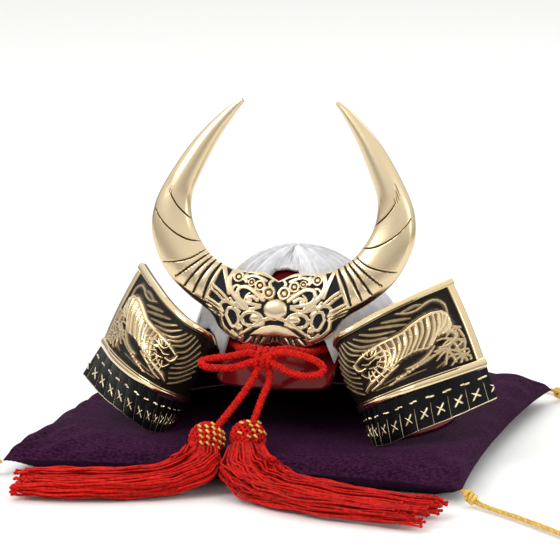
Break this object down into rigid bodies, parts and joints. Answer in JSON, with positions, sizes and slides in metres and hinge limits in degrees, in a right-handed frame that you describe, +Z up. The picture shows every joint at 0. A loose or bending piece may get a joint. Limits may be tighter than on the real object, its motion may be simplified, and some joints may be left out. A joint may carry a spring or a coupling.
{
  "type": "miniature samurai helmet on a display cushion",
  "caption": "A small cast display kabuto: gold horned crest with a demon face, turned-back side panels, white hair and red tasselled cord, on a purple cushion",
  "frame": {"origin": "centre of the cushion's flat underside, on the floor plane", "axes": "+Z up, the helmet faces -Y, +X to the viewer's right when looking at the face"},
  "size_m": [0.3918, 0.35, 0.1898],
  "materials": {
    "purple_cloth": "crinkled purple crepe",
    "dark_red_lacquer": "glossy dark red lacquer",
    "old_gold": "worn gold with dark patina in the relief",
    "black_metal": "satin black with gold lacing marks",
    "polished_gold": "polished pale gold plating",
    "white_hair": "long white fibres",
    "red_cord": "braided red cord",
    "yellow_cord": "twisted yellow cord"
  },
  "bodies": {
    "root": {"cushion": "purple_cloth", "bowl": "dark_red_lacquer", "visor": "dark_red_lacquer", "lame_top": "dark_red_lacquer", "lame_middle": "dark_red_lacquer", "lame_bottom": "dark_red_lacquer", "fukigaeshi_left": "old_gold", "fukigaeshi_right": "old_gold", "laced_band_left": "black_metal", "laced_band_right": "black_metal", "crest": "polished_gold", "crest_post": "dark_red_lacquer", "hair": "white_hair", "cord_loop": "red_cord", "bow_knot": "red_cord", "bow_loop_left": "red_cord", "bow_loop_right": "red_cord", "cord_drop_left": "red_cord", "cord_drop_right": "red_cord", "tassel_left": "red_cord", "tassel_right": "red_cord", "corner_cord_front_left": "yellow_cord", "corner_cord_front_right": "yellow_cord", "corner_cord_back_left": "yellow_cord", "corner_cord_back_right": "yellow_cord"}
  },
  "joints": []
}
